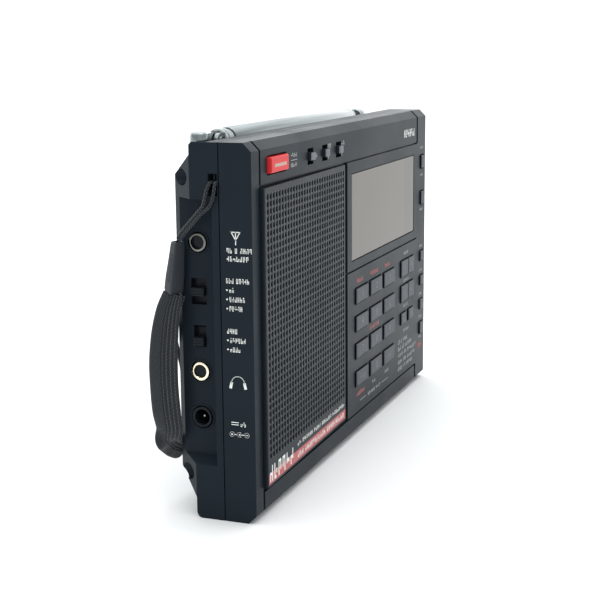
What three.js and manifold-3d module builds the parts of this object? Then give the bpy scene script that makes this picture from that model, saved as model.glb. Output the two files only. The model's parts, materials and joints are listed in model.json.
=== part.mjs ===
// Portable shortwave receiver with a hand strap and a telescopic antenna.
// Millimetres. The origin is the centre of the bottom face: +X to the right seen from the front,
// +Y towards the back and +Z up.
import * as THREE from "three";
import { mergeVertices } from "three/addons/utils/BufferGeometryUtils.js";
import { ConvexGeometry } from "three/addons/geometries/ConvexGeometry.js";
import Module from "manifold-3d";

const wasm = await Module();
wasm.setup();

// ---- driving dimensions -------------------------------------------------------------------------

const GAP = 0.3; // between a piece and the opening or seat it sits in
const WALL = 2; // case wall

const CASE = { halfWidth: 93.5, height: 114, front: -15, seam: -4.7 };
const CHAMFER = 2.6; // front edges, top and bottom
const FACE_INSIDE = CASE.front + WALL; // inner side of the front wall

const RIM_BACK = 4.6; // where the rear shell's straight sides end
const BULGE = { back: 12.3, halfWidth: 87, foot: [6.5, 110.3], top: [13.8, 103.9] };
const HUMP = { back: 16.5, foot: [75, 16, 97], top: [71, 20, 93] }; // half width, lowest z, highest z

const GROOVE_DEPTH = 0.8;
const BAND = { left: -87.2, right: 80.9, z: 101 }; // top band's groove lines
const PLINTH = { left: -87.2, right: 80, z: 8.3 }; // bottom groove lines
const DISPLAY_LINE = { x: [-8.6, 81], z: 61.8 };

const GRILLE = { x: [-87.3, -10.7], z: [9.4, 100.4], leftFace: -16.4, rightFace: -15.1, back: -14.2 };
const GRILLE_SEAT = { x: [-87.7, -8.1], y: -14, z: [8, 101.3] };
const SOUND_OPENING = { x: [-84, -14], z: [17, 99] };
const GRILLE_SLOTS = { columns: 11, rows: 9, x: [-82, -16], z: [21, 95], width: 2.6, height: 4 };

const DISPLAY = { x: [-3.3, 76.5], z: [65.3, 96.6] };

const KEY = { face: -15.7, back: -10.2, bevel: 0.4, flange: 0.6, flangeFront: -12.7, flangeBack: -11.7 };
const KEY_COLUMNS = [0, 17, 34];
const KEY_ROWS = [48.9, 38.7, 28.6, 18.2];
const KEY_SIZE = [14.7, 6.3];
const CLUSTER_WINDOWS = [[48.6, 55.9], [38.4, 45.8]]; // z of the two wide windows, two keys in each
const CLUSTER_X = [57.3, 76.3];
const CLUSTER_SPLIT = 67.3;
const SMALL_KEYS = { x: [[57.6, 65.4], [68.1, 75.7]], z: [29.2, 34.5] };
const EDGE_KEYS = [[89.9, 95.9], [74.9, 81], [51, 55.9], [40.7, 45.5], [30.3, 35.2], [19.7, 25.4]];
const EDGE_X = [85.5, 91.2];

const POWER = { x: [-81.6, -66.1], z: [103.6, 109.4], face: -16.25 };
const BAND_SWITCHES = [-44.8, -31.1, -17.4];
const BAND_SLOT = { width: 5.4, z: [103.6, 108.8] };

const RECESS = { floor: -88.8, front: -2.4, z: [19, 97.4], lip: 17 }; // in the left side
const JACKS = {
  antenna: { y: 4.5, z: 84.1, radius: 2.85, bore: 1.75 },
  headphone: { y: 4.5, z: 44.8, radius: 2.9, bore: 1.75 },
  dc: { y: 4.2, z: 30.5, radius: 3.25, bore: 2.6, pin: 1 },
};
const GAIN = { y: [2, 7], z: [65.3, 73.2], knob: 69.25, flange: 4.9 };
const TONE = { y: [2.4, 6.4], z: [52.4, 58.9], knob: 54.1, flange: 4 };

const STRAP_POCKET = { x: [-95, -89], y: [-4.25, -1.35], z: [98.5, 105] };
const STRAP_POST = { x: -91.9, y: -2.8, radius: 0.35 };
const CORD_RADIUS = 0.45;
const CLIP = { // moulded block that joins the cord to the webbing
  x: -91.9,
  turn: -29,
  stations: [[9.4, 84.6, 1.6, 1.1, 0], [10.9, 73, 2.55, 1.7, 0.15], [11.3, 69.4, 2.45, 1.65, 0.3]],
}; // y, z, half sizes and how steeply the station rises towards the back
const WEBBING_THICKNESS = 1.2;

const MAST = { y: 4, z: 113.2, swivel: -87.3, hinge: -78, foot: 2.6 };
const TROUGH = { x: [-91.8, 68.5], front: 0.1, floor: 109 };
const OUTLET = { front: 0.7, floor: 109.6 }; // lets the inner tubes out past the trough's end
const TUBES = [ // outer radius, start and end of each telescopic section
  [3.5, -67.1, 46.4],
  [3.1, -65.5, 48.9],
  [2.7, -64.8, 50.8],
  [2.3, -64.1, 52.7],
  [1.9, -63.4, 54.6],
  [1.5, -62.7, 57],
];
const TUBE_WALL = 0.25;

const WHEELS = {
  tuning_wheel: { x: 84, z: 78, radius: 11 },
  fine_tuning_wheel: { x: 87, z: 52, radius: 8 },
  volume_wheel: { x: 87, z: 27, radius: 8 },
};
const WHEEL_Y = [-2.7, 2.7];
const SHAFT_RADIUS = 2;

const BAY = { x: [7, 69], z: [20.6, 84.4] }; // battery bay in the hump
const CELL = { radius: 7.25, length: 50.5, y: 6.95, z: [30.6, 45.2, 59.8, 74.4], x: 12 };
const COVER = { x: 4, ledge: 14.7 };
const STAND = { x: [-50, -6], z: [21.6, 60.8], y: [14.8, 16.3], pinY: 15.4, pinZ: 60, pin: 0.8 };

const STAND_SIDE = { x: [-69, 2], y: 12, z: [20.6, 92] }; // hollow of the hump in front of the stand

const SPEAKER = { x: -48.5, z: 54.6, radius: 34.5 };

// ---- solids -------------------------------------------------------------------------------------

function solid(geometry) {
  const plain = geometry.clone();
  plain.deleteAttribute("normal");
  plain.deleteAttribute("uv");
  const welded = mergeVertices(plain, 1e-5);
  return new wasm.Manifold(new wasm.Mesh({
    numProp: 3,
    vertProperties: new Float32Array(welded.attributes.position.array),
    triVerts: new Uint32Array(welded.index.array),
  }));
}

function union(pieces) {
  return pieces.reduce((whole, piece) => whole.add(piece));
}

function cut(body, tools) {
  return tools.reduce((rest, tool) => rest.subtract(tool), body);
}

function block([x0, x1], [y0, y1], [z0, z1]) {
  const geometry = new THREE.BoxGeometry(x1 - x0, y1 - y0, z1 - z0);
  return solid(geometry.translate((x0 + x1) / 2, (y0 + y1) / 2, (z0 + z1) / 2));
}

// A convex body through rectangles square to Y, each given as [y, x range, z range].
function taper(sections) {
  const corners = sections.flatMap(([y, x, z]) => (
    x.flatMap((cornerX) => z.map((cornerZ) => new THREE.Vector3(cornerX, y, cornerZ)))
  ));
  return solid(new ConvexGeometry(corners));
}

function outline(points) {
  return new THREE.Shape(points.map(([u, v]) => new THREE.Vector2(u, v)));
}

// A (y, z) outline carried along X.
function prismX(points, [x0, x1]) {
  const geometry = new THREE.ExtrudeGeometry(outline(points), { depth: x1 - x0, bevelEnabled: false });
  const turn = new THREE.Matrix4().set(0, 0, 1, x0, 1, 0, 0, 0, 0, 1, 0, 0, 0, 0, 0, 1);
  return solid(geometry.applyMatrix4(turn));
}

// An (x, z) outline carried along Y.
function prismY(points, [y0, y1]) {
  const geometry = new THREE.ExtrudeGeometry(outline(points), { depth: y1 - y0, bevelEnabled: false });
  return solid(geometry.rotateX(Math.PI / 2).translate(0, y1, 0));
}

const ALONG = {
  x: (geometry) => geometry.rotateZ(-Math.PI / 2),
  y: (geometry) => geometry,
  z: (geometry) => geometry.rotateX(Math.PI / 2),
};

// A round bar along one axis, from one place on it to another; at holds its centre line.
function bar(axis, radius, [from, to], at, sides = 24) {
  const geometry = new THREE.CylinderGeometry(radius, radius, to - from, sides);
  geometry.translate(0, (from + to) / 2, 0);
  return solid(ALONG[axis](geometry).translate(...at));
}

// A turned body: (radius, place along the axis) points that start and end on the axis or close.
function turned(axis, profile, at, sides = 32) {
  const points = profile.map(([radius, place]) => new THREE.Vector2(radius, place));
  const geometry = new THREE.LatheGeometry(points, sides);
  return solid(ALONG[axis](geometry).translate(...at));
}

function grow([low, high], by) {
  return [low - by, high + by];
}

// ---- case ---------------------------------------------------------------------------------------

// A groove that runs down a front wall line and on over the chamfer at one end.
function wrappedGroove(x, width, from, end) {
  const side = Math.sign(end - from);
  const bottom = CASE.front + GROOVE_DEPTH;
  const corner = end - side * (CHAMFER + 0.35);
  const profile = [
    [CASE.front - 1, from],
    [bottom, from],
    [bottom, corner],
    [bottom + CHAMFER, corner + side * CHAMFER],
    [bottom + CHAMFER, end + side],
    [CASE.front - 1, end + side],
  ];
  return prismX(side > 0 ? profile : profile.reverse(), [x - width / 2, x + width / 2]);
}

function levelGroove(x, z) {
  return block(x, [CASE.front - 1, CASE.front + GROOVE_DEPTH], [z - 0.3, z + 0.3]);
}

function keyHoles() {
  const holes = [];
  for (const x of KEY_COLUMNS) {
    for (const z of KEY_ROWS) {
      holes.push([[x, x + KEY_SIZE[0]], [z, z + KEY_SIZE[1]]]);
    }
  }
  for (const z of CLUSTER_WINDOWS) {
    holes.push([CLUSTER_X, z]);
  }
  for (const x of SMALL_KEYS.x) {
    holes.push([x, SMALL_KEYS.z]);
  }
  for (const z of EDGE_KEYS) {
    holes.push([EDGE_X, z]);
  }
  for (const x of BAND_SWITCHES) {
    holes.push([grow([x, x], BAND_SLOT.width / 2), BAND_SLOT.z]);
  }
  holes.push([POWER.x, POWER.z]);
  return holes;
}

function frontShell() {
  const { halfWidth, height, front, seam } = CASE;
  const back = seam - GAP / 2;
  const outer = prismX([
    [back, 0],
    [back, height],
    [front + CHAMFER, height],
    [front, height - CHAMFER],
    [front, CHAMFER],
    [front + CHAMFER, 0],
  ].reverse(), [-halfWidth, halfWidth]);
  const throughWall = [front - 1, FACE_INSIDE + 1];
  return cut(outer, [
    block(grow([-halfWidth, halfWidth], -WALL), [FACE_INSIDE, 0], [WALL, height - WALL]),
    block(GRILLE_SEAT.x, [front - 1, GRILLE_SEAT.y], GRILLE_SEAT.z),
    block(SOUND_OPENING.x, throughWall, SOUND_OPENING.z),
    block(DISPLAY.x, throughWall, DISPLAY.z),
    levelGroove([GRILLE_SEAT.x[1] - 1, BAND.right], BAND.z),
    levelGroove(DISPLAY_LINE.x, DISPLAY_LINE.z),
    levelGroove([PLINTH.left, PLINTH.right], PLINTH.z),
    wrappedGroove(BAND.left, 1.2, BAND.z, height),
    wrappedGroove(BAND.right, 1.8, BAND.z, height),
    wrappedGroove(PLINTH.left, 1.2, PLINTH.z, 0),
    wrappedGroove(PLINTH.right, 1.8, PLINTH.z, 0),
    ...keyHoles().map(([x, z]) => block(x, throughWall, z)),
  ]);
}

function bulge() {
  const { back, halfWidth, foot, top } = BULGE;
  const wide = [-CASE.halfWidth, CASE.halfWidth];
  return taper([
    [RIM_BACK - 2, wide, foot],
    [RIM_BACK, wide, foot],
    [back, [-halfWidth, halfWidth], top],
  ]);
}

function hump() {
  const [footHalf, ...foot] = HUMP.foot;
  const [topHalf, ...top] = HUMP.top;
  const wide = [-footHalf, footHalf];
  return taper([
    [BULGE.back - 2, wide, foot],
    [BULGE.back, wide, foot],
    [HUMP.back, [-topHalf, topHalf], top],
  ]);
}

const SCREWS = [-89.9, 89.9].flatMap((x) => [[x, 103.4], [x, 13.3]]);

// The hollow of the rear shell, less the walls around its pockets.
function rearHollow() {
  const inner = CASE.halfWidth - WALL;
  const rooms = union([
    block([-inner, inner], [-10, 2.5], [WALL, CASE.height - WALL]),
    taper([[2.3, [-91.3, 91.3], [8.6, 108]], [BULGE.back - WALL, [-85.2, 85.2], [15.9, 101.8]]]),
    block(BAY.x, [BULGE.back - WALL - 1, HUMP.back], BAY.z),
    block(STAND_SIDE.x, [BULGE.back - WALL - 1, STAND_SIDE.y], STAND_SIDE.z),
  ]);
  const outside = -CASE.halfWidth - 1;
  return cut(rooms, [
    block([outside, RECESS.floor + 1.8], [RECESS.front - 1.8, 20], [RECESS.lip - 1.8, RECESS.z[1] + 2.4]),
    block([outside, STRAP_POCKET.x[1] + 1.8], [-11, STRAP_POCKET.y[1] + 1.8], grow(STRAP_POCKET.z, 1.6)),
    block([outside, CASE.halfWidth + 1], [TROUGH.front - 1.8, 20], [TROUGH.floor - 1.8, 130]),
    bar("z", 4.6, [103.5, 108], [MAST.swivel, MAST.y, 0]),
    ...SCREWS.map(([x, z]) => bar("y", 4.2, [2.6, 15], [x, 0, z])),
  ]);
}

function sideRecess() {
  const { floor, front, z, lip } = RECESS;
  const slope = (z[0] - lip) / (floor + CASE.halfWidth);
  const outside = -CASE.halfWidth - 4;
  return prismY([
    [floor, z[0]],
    [floor, z[1]],
    [outside, z[1]],
    [outside, lip - 4 * slope],
  ], [front, 20]);
}

function recessHoles() {
  const through = [RECESS.floor - 1, RECESS.floor + 3];
  const round = Object.values(JACKS).map(({ y, z, radius }) => (
    bar("x", radius + GAP, through, [0, y, z])
  ));
  return [...round, block(through, GAIN.y, GAIN.z), block(through, TONE.y, TONE.z)];
}

function wheelSlots() {
  return Object.values(WHEELS).map(({ x, z, radius }) => {
    const wallDepth = 90.5 - x;
    const halfChord = Math.sqrt(radius ** 2 - wallDepth ** 2);
    return block([88, 96], grow(WHEEL_Y, 0.4), [z - halfChord - 0.5, z + halfChord + 0.5]);
  });
}

function standRecess() {
  const { x, z, pinY, pinZ, pin } = STAND;
  return union([
    block(grow(x, GAP), [pinY - 1.5, 20], [z[0] - 0.4, z[1] + 0.8]),
    block([-34, -22], [pinY - 1.5, 20], [10, z[0]]),
    bar("x", pin + 0.05, grow(x, 1.8), [0, pinY, pinZ]),
  ]);
}

function rearShell() {
  const { halfWidth, height, seam } = CASE;
  const front = seam + GAP / 2;
  const rim = prismX([
    [front, 0],
    [RIM_BACK - 1.6, 0],
    [RIM_BACK - 0.5, 0.5],
    [RIM_BACK, 1.6],
    [RIM_BACK, height - 0.8],
    [RIM_BACK - 0.8, height],
    [front, height],
  ], [-halfWidth, halfWidth]);
  const shell = cut(union([rim, bulge(), hump()]), [
    rearHollow(),
    sideRecess(),
    ...recessHoles(),
    ...wheelSlots(),
    block(STRAP_POCKET.x, STRAP_POCKET.y, STRAP_POCKET.z),
    block(TROUGH.x, [TROUGH.front, 20], [TROUGH.floor, height + 5]),
    block([TROUGH.x[1] - 1, halfWidth + 2], [OUTLET.front, 20], [OUTLET.floor, height + 5]),
    bar("z", 2.05, [105.2, 110], [MAST.swivel, MAST.y, 0]),
    ...SCREWS.map(([x, z]) => bar("y", 2.5, [4.6, 15], [x, 0, z])),
    block([COVER.x, 80], [COVER.ledge, 20], [0, height]),
    standRecess(),
  ]);
  const { x, y, radius } = STRAP_POST;
  return shell.add(bar("z", radius, grow(STRAP_POCKET.z, 0.5), [x, y, 0], 12));
}

function batteryCover() {
  return hump().intersect(block([COVER.x + GAP, 80], [COVER.ledge + GAP, 20], [0, CASE.height]));
}

function kickstand() {
  const { x, z, y, pinY, pinZ, pin } = STAND;
  const plate = block(x, y, z);
  return plate.add(bar("x", pin, grow(x, 1.5), [0, pinY, pinZ]));
}

// ---- front panel --------------------------------------------------------------------------------

function speakerGrille() {
  const { x, z, leftFace, rightFace, back } = GRILLE;
  const corner = 2;
  const plate = prismY([
    [x[0], z[0]],
    [x[1], z[0]],
    [x[1], z[1] - corner],
    [x[1] - 0.6, z[1] - 0.6],
    [x[1] - corner, z[1]],
    [x[0], z[1]],
  ], [leftFace, back]);
  const slope = (rightFace - leftFace) / (x[1] - x[0]);
  const overrun = 2;
  const skim = [
    [x[0] - overrun, leftFace - overrun * slope],
    [x[0] - overrun, leftFace - 3],
    [x[1] + overrun, leftFace - 3],
    [x[1] + overrun, rightFace + overrun * slope],
  ];
  const shape = new THREE.ExtrudeGeometry(outline(skim), { depth: CASE.height, bevelEnabled: false });
  const holes = grilleSlots().map(([slotX, slotZ]) => block(slotX, [leftFace - 1, back + 1], slotZ));
  return cut(plate, [solid(shape), ...holes]);
}

function grilleSlots() {
  const { columns, rows, x, z, width, height } = GRILLE_SLOTS;
  const slots = [];
  for (let column = 0; column < columns; column += 1) {
    for (let row = 0; row < rows; row += 1) {
      const middleX = x[0] + (x[1] - x[0]) * column / (columns - 1);
      const middleZ = z[0] + (z[1] - z[0]) * row / (rows - 1);
      slots.push([grow([middleX, middleX], width / 2), grow([middleZ, middleZ], height / 2)]);
    }
  }
  return slots;
}

function displayWindow() {
  return block(grow(DISPLAY.x, -GAP), [CASE.front + 0.1, FACE_INSIDE - 0.2], grow(DISPLAY.z, -GAP));
}

function displayModule() {
  return block(grow(DISPLAY.x, 2.4), [FACE_INSIDE + GAP, -8], grow(DISPLAY.z, 2.3));
}

// A push key: bevelled cap, retaining flange behind the wall and a stem down to the key mat.
function key(x, z, flangeX = grow(x, KEY.flange), face = KEY.face) {
  const cap = taper([
    [face, grow(x, -KEY.bevel), grow(z, -KEY.bevel)],
    [face + KEY.bevel, x, z],
    [KEY.flangeFront + 0.1, x, z],
  ]);
  const flange = block(flangeX, [KEY.flangeFront, KEY.flangeBack], grow(z, KEY.flange));
  const stem = block(grow(x, -1.6), [KEY.flangeBack - 0.1, KEY.back], grow(z, -1.4));
  return union([cap, flange, stem]);
}

function mainKeys() {
  const keys = [];
  for (const z of KEY_ROWS) {
    for (const x of KEY_COLUMNS) {
      keys.push(key(grow([x, x + KEY_SIZE[0]], -GAP), grow([z, z + KEY_SIZE[1]], -GAP)));
    }
  }
  return keys;
}

function clusterKeys() {
  const { flange } = KEY;
  const left = [CLUSTER_X[0] + GAP, CLUSTER_SPLIT - 0.2];
  const right = [CLUSTER_SPLIT + 0.2, CLUSTER_X[1] - GAP];
  const keys = [];
  for (const window of CLUSTER_WINDOWS) {
    const z = grow(window, -GAP);
    keys.push(key(left, z, [left[0] - flange, left[1]]));
    keys.push(key(right, z, [right[0], right[1] + flange]));
  }
  for (const x of SMALL_KEYS.x) {
    keys.push(key(grow(x, -GAP), grow(SMALL_KEYS.z, -GAP)));
  }
  return keys;
}

function edgeKeys() {
  const x = grow(EDGE_X, -GAP);
  return EDGE_KEYS.map((z) => key(x, grow(z, -GAP), [x[0] - KEY.flange, x[1] + 0.3]));
}

function powerButton() {
  return key(grow(POWER.x, -0.5), grow(POWER.z, -0.5), grow(POWER.x, KEY.flange), POWER.face);
}

function bandSwitch(x) {
  const middle = (BAND_SLOT.z[0] + BAND_SLOT.z[1]) / 2;
  const around = (halfX, depth, halfZ) => block(grow([x, x], halfX), depth, grow([middle, middle], halfZ));
  const knob = around(1.95, [CASE.front - 1, KEY.flangeFront + 0.1], 1.25);
  return knob.add(around(3.3, [KEY.flangeFront, KEY.flangeBack], 3.4));
}

// ---- left side ----------------------------------------------------------------------------------

function jack({ y, z, radius, bore, pin }) {
  const back = -79;
  const mouth = RECESS.floor - 0.5;
  const sleeve = bar("x", radius, [mouth, back], [0, y, z]);
  const barrel = sleeve.subtract(bar("x", bore, [mouth - 1, back - 1.5], [0, y, z]));
  return pin ? barrel.add(bar("x", pin, [mouth + 0.6, back - 1], [0, y, z], 12)) : barrel;
}

function sideSwitch({ y, z, knob, flange }) {
  const wallBack = RECESS.floor + 1.8;
  const cap = block([RECESS.floor - 1.3, wallBack + 0.4], grow(y, -GAP), [knob - 1.3, knob + 1.3]);
  const plate = block([wallBack + GAP, wallBack + 1.2], grow(y, 0.6), [knob - flange, knob + flange]);
  return cap.add(plate);
}

// ---- right side ---------------------------------------------------------------------------------

function wheel({ x, z, radius }) {
  const disc = bar("y", radius, WHEEL_Y, [x, 0, z], 48);
  return disc.subtract(bar("y", SHAFT_RADIUS + 0.08, grow(WHEEL_Y, 1), [x, 0, z]));
}

// ---- antenna ------------------------------------------------------------------------------------

function antennaBase() {
  const { swivel, hinge, y, z, foot } = MAST;
  const stub = turned("z", [
    [0, 105.5],
    [2, 105.5],
    [2, 109.3],
    [foot, 109.3],
    [foot, 115.7],
    [foot - 0.7, 116.4],
    [0, 116.5],
  ], [swivel, y, 0]);
  const thick = [y - 1.2, y + 1.2];
  const tang = block([swivel + 2, hinge], thick, [z - 2.6, z + 2.6]);
  const eye = bar("y", 2.6, thick, [hinge, 0, z]);
  return cut(union([stub, tang, eye]), [bar("y", 1.05, grow(thick, 1), [hinge, 0, z])]);
}

function antennaFork() {
  const { hinge, y, z } = MAST;
  const ears = [[y - 2.8, y - 1.5], [y + 1.5, y + 2.8]].flatMap((thick) => [
    block([hinge, -74.5], thick, [z - 2.3, z + 2.3]),
    bar("y", 2.3, thick, [hinge, 0, z]),
  ]);
  return union([...ears, bar("y", 1, [y - 2, y + 2], [hinge, 0, z])]);
}

function antennaSections() {
  const [outer, ...inner] = TUBES;
  const [radius, start, end] = outer;
  const bore = radius - TUBE_WALL;
  const first = turned("x", [
    [0, -74.8],
    [3.3, -74.8],
    [3.3, -70.1],
    [3, -70.1],
    [3, start],
    [radius, start],
    [radius, end],
    [bore, end],
    [bore, start + 1.1],
    [0, start + 1.1],
  ], [0, MAST.y, MAST.z], 28).add(antennaFork());
  const rod = inner.pop();
  const middle = inner.map(([tube, from, to]) => turned("x", [
    [tube, from],
    [tube, to],
    [tube - TUBE_WALL, to],
    [tube - TUBE_WALL, from],
    [tube, from],
  ], [0, MAST.y, MAST.z], 24));
  const tip = turned("x", [
    [0, rod[1]],
    [rod[0], rod[1]],
    [rod[0], rod[2]],
    [2.6, rod[2]],
    [2.6, 63.4],
    [1.8, 64.4],
    [0, 64.4],
  ], [0, MAST.y, MAST.z], 24);
  return [first, ...middle, tip];
}

// ---- inside -------------------------------------------------------------------------------------

function speakerFrame() {
  const { radius, x, z } = SPEAKER;
  return turned("y", [
    [0, -1.6],
    [14, -1.6],
    [31.5, -10.6],
    [31.5, -12.7],
    [radius, -12.7],
    [radius, -10.5],
    [17, -1],
    [17, 5],
    [0, 5],
  ], [x, 0, z], 40);
}

function speakerCone() {
  return turned("y", [
    [0, -4.4],
    [5, -4],
    [9, -2.9],
    [30.6, -11.5],
    [31, -11.5],
    [31, -10.9],
    [9, -2.2],
    [0, -2.2],
  ], [SPEAKER.x, 0, SPEAKER.z], 40);
}

// The circuit board with the encoder shafts that carry the edge wheels.
function mainBoard() {
  const board = block([-12, 90.8], [-7.5, -5.9], [4, 108]);
  const shafts = Object.values(WHEELS).map(({ x, z }) => (
    bar("y", SHAFT_RADIUS, [-6.5, WHEEL_Y[1]], [x, 0, z])
  ));
  return union([board, ...shafts]);
}

function keypadMat() {
  return block([-2, 91], [-9.1, -7.8], [16, 58]);
}

function ferriteRod() {
  const rod = bar("x", 4, [-62, 38], [0, 2.2, 98.4]);
  return rod.add(bar("x", 4.7, [-40, -18], [0, 2.2, 98.4]));
}

// Four cells side by side, joined by the contact plates at their ends.
function batteryCells() {
  const { radius, length, y, z, x } = CELL;
  const cells = z.map((height) => bar("x", radius, [x, x + length], [0, y, height], 28));
  const rail = [z[0] - 4, z[3] + 4];
  const plates = [[x - 0.6, x + 0.1], [x + length - 0.1, x + length + 0.6]];
  return union([...cells, ...plates.map((ends) => block(ends, [y - 3, y + 3], rail))]);
}

// ---- strap --------------------------------------------------------------------------------------

// From the clip up one strand, round the post in the case and down the other strand.
const CORD_ROUTE = [
  [-91.8, 8.9, 84.9],
  [-92.6, 6.8, 87.2],
  [-93.5, 4.1, 89.8],
  [-94.3, 0.7, 93.2],
  [-94.5, -1.9, 95.3],
  [-94.6, -3.2, 97.7],
  [-94.6, -3.8, 100.6],
  [-93.6, -3.75, 102.2],
  [-92.2, -3.78, 102.4],
  [-90.75, -2.8, 102.4],
  [-92.2, -1.8, 102.4],
  [-93.6, -1.85, 102],
  [-94.6, -1.4, 100.3],
  [-94.6, -0.7, 97.7],
  [-94.5, 0, 95.6],
  [-94.2, 1.6, 93.9],
  [-93.4, 4.9, 90.6],
  [-92.5, 7.6, 88],
  [-91.6, 9.7, 85.4],
];

// Stations of the webbing loop: centre, width, and the direction of its outer edge.
const WEBBING_ROUTE = [
  [[-93.1, 11, 68.9], 6.4, [0, 1, 0]],
  [[-93.7, 12.4, 64], 7.8, [0, 1, 0]],
  [[-94.1, 13.5, 57], 9, [0, 1, 0]],
  [[-94.1, 14.3, 48], 9.6, [0, 1, 0]],
  [[-94, 14.3, 40], 9.6, [0, 1, 0]],
  [[-93.3, 14.1, 32], 9.6, [0, 1, -0.1]],
  [[-92.1, 14, 26.6], 9.2, [0.1, 0.97, -0.2]],
  [[-90.4, 15.3, 23], 8.4, [0.3, 0.75, -0.45]],
  [[-87.2, 16.4, 20.6], 7.8, [0.3, 0.5, -0.75]],
  [[-83.2, 16.4, 17.9], 7.6, [0.4, 0.4, -0.8]],
  [[-79, 16.3, 16.6], 7.6, [0.5, 0.35, -0.8]],
  [[-77, 16.1, 20.5], 7.8, [0.8, 0.4, -0.45]],
  [[-78, 15.7, 27], 8.4, [0.9, 0.4, -0.15]],
  [[-78.8, 15.4, 33], 8.8, [0.92, 0.38, 0]],
  [[-79, 15.4, 42], 8.8, [0.92, 0.38, 0]],
  [[-81.6, 16.1, 50], 8.6, [0.85, 0.5, 0]],
  [[-86.8, 16.1, 57.5], 8.2, [0.6, 0.8, 0]],
  [[-90.1, 13.7, 63.5], 7.4, [0.2, 0.98, 0]],
  [[-91.2, 11, 68.9], 6.4, [0, 1, 0]],
];
const WEBBING_STEPS = 64;

function strapCord() {
  const path = new THREE.CatmullRomCurve3(CORD_ROUTE.map((point) => new THREE.Vector3(...point)));
  const section = new THREE.Shape();
  section.setFromPoints(Array.from({ length: 8 }, (_, side) => {
    const angle = side * Math.PI / 4;
    return new THREE.Vector2(CORD_RADIUS * Math.cos(angle), CORD_RADIUS * Math.sin(angle));
  }));
  return solid(new THREE.ExtrudeGeometry(section, { steps: 60, extrudePath: path, bevelEnabled: false }));
}

// A tapering block, its faces turned about halfway between the side and the front of the case.
function strapClip() {
  const turn = THREE.MathUtils.degToRad(CLIP.turn);
  const corners = CLIP.stations.flatMap(([y, z, halfFace, halfEdge, rise]) => (
    [[-1, -1], [1, -1], [1, 1], [-1, 1]].map(([face, edge]) => (
      new THREE.Vector3(face * halfFace, edge * halfEdge, edge * halfEdge * rise)
        .applyAxisAngle(new THREE.Vector3(0, 0, 1), turn)
        .add(new THREE.Vector3(CLIP.x, y, z))
    ))
  ));
  return solid(new ConvexGeometry(corners));
}

function webbingWidth(t) {
  const place = t * (WEBBING_ROUTE.length - 1);
  const [, before] = WEBBING_ROUTE[Math.floor(place)];
  const [, after] = WEBBING_ROUTE[Math.ceil(place)];
  return THREE.MathUtils.lerp(before, after, place % 1);
}

function webbingStation(t, centres, sides) {
  const width = webbingWidth(t);
  const centre = centres.getPoint(t);
  const along = centres.getTangent(t);
  const side = sides.getPoint(t);
  side.addScaledVector(along, -side.dot(along)).normalize();
  const face = new THREE.Vector3().crossVectors(along, side);
  const corner = (across, out) => centre.clone()
    .addScaledVector(side, across * width / 2)
    .addScaledVector(face, out * WEBBING_THICKNESS / 2);
  return [corner(-1, -1), corner(1, -1), corner(1, 1), corner(-1, 1)];
}

// Flat webbing swept along its stations.
function strapWebbing() {
  const centres = new THREE.CatmullRomCurve3(WEBBING_ROUTE.map(([at]) => new THREE.Vector3(...at)));
  const sides = new THREE.CatmullRomCurve3(WEBBING_ROUTE.map(([, , side]) => new THREE.Vector3(...side)));
  const positions = [];
  const index = [];
  for (let step = 0; step <= WEBBING_STEPS; step += 1) {
    for (const corner of webbingStation(step / WEBBING_STEPS, centres, sides)) {
      positions.push(...corner.toArray());
    }
  }
  for (let step = 0; step < WEBBING_STEPS; step += 1) {
    for (let side = 0; side < 4; side += 1) {
      const a = step * 4 + side;
      const b = step * 4 + (side + 1) % 4;
      index.push(a, b, b + 4, a, b + 4, a + 4);
    }
  }
  const last = WEBBING_STEPS * 4;
  index.push(0, 2, 1, 0, 3, 2, last, last + 1, last + 2, last, last + 2, last + 3);
  const geometry = new THREE.BufferGeometry();
  geometry.setAttribute("position", new THREE.Float32BufferAttribute(positions, 3));
  geometry.setIndex(index);
  return solid(geometry);
}

// ---- materials ----------------------------------------------------------------------------------

function finish(color, roughness, metalness = 0) {
  return () => new THREE.MeshStandardMaterial({ color, roughness, metalness });
}

const casePlastic = finish(0x1d1f22, 0.5);
const grillePaint = finish(0x242628, 0.45, 0.2);
const displayPane = finish(0x8c8a82, 0.15);
const displayBack = finish(0x9aa08c, 0.6);
const keyRubber = finish(0x2a2d31, 0.6);
const powerRed = finish(0xd23a3c, 0.4);
const knobPlastic = finish(0x15171a, 0.4);
const chrome = finish(0xd8dade, 0.12, 1);
const goldPlate = finish(0xd9b45a, 0.25, 1);
const darkMetal = finish(0x55575a, 0.3, 1);
const boardGreen = finish(0x1f5a36, 0.6);
const paperCone = finish(0x2b2a28, 0.9);
const steel = finish(0x8d9094, 0.35, 1);
const ferrite = finish(0x3a3a3c, 0.7);
const cellSleeve = finish(0x6c7076, 0.4, 0.5);
const strapBlack = finish(0x17181a, 0.9);

// ---- assembly -----------------------------------------------------------------------------------

const receiver = new THREE.Group();
receiver.name = "shortwave_receiver";

function place(name, body, material) {
  const { vertProperties, triVerts, numProp } = body.getMesh();
  const geometry = new THREE.BufferGeometry();
  const positions = numProp === 3 ? vertProperties : vertProperties.filter((_, i) => i % numProp < 3);
  geometry.setAttribute("position", new THREE.BufferAttribute(new Float32Array(positions), 3));
  geometry.setIndex(new THREE.BufferAttribute(new Uint32Array(triVerts), 1));
  geometry.computeVertexNormals();
  const mesh = new THREE.Mesh(geometry, material());
  mesh.name = name;
  receiver.add(mesh);
}

function placeRow(prefix, bodies, material) {
  bodies.forEach((body, index) => place(`${prefix}_${index + 1}`, body, material));
}

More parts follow.
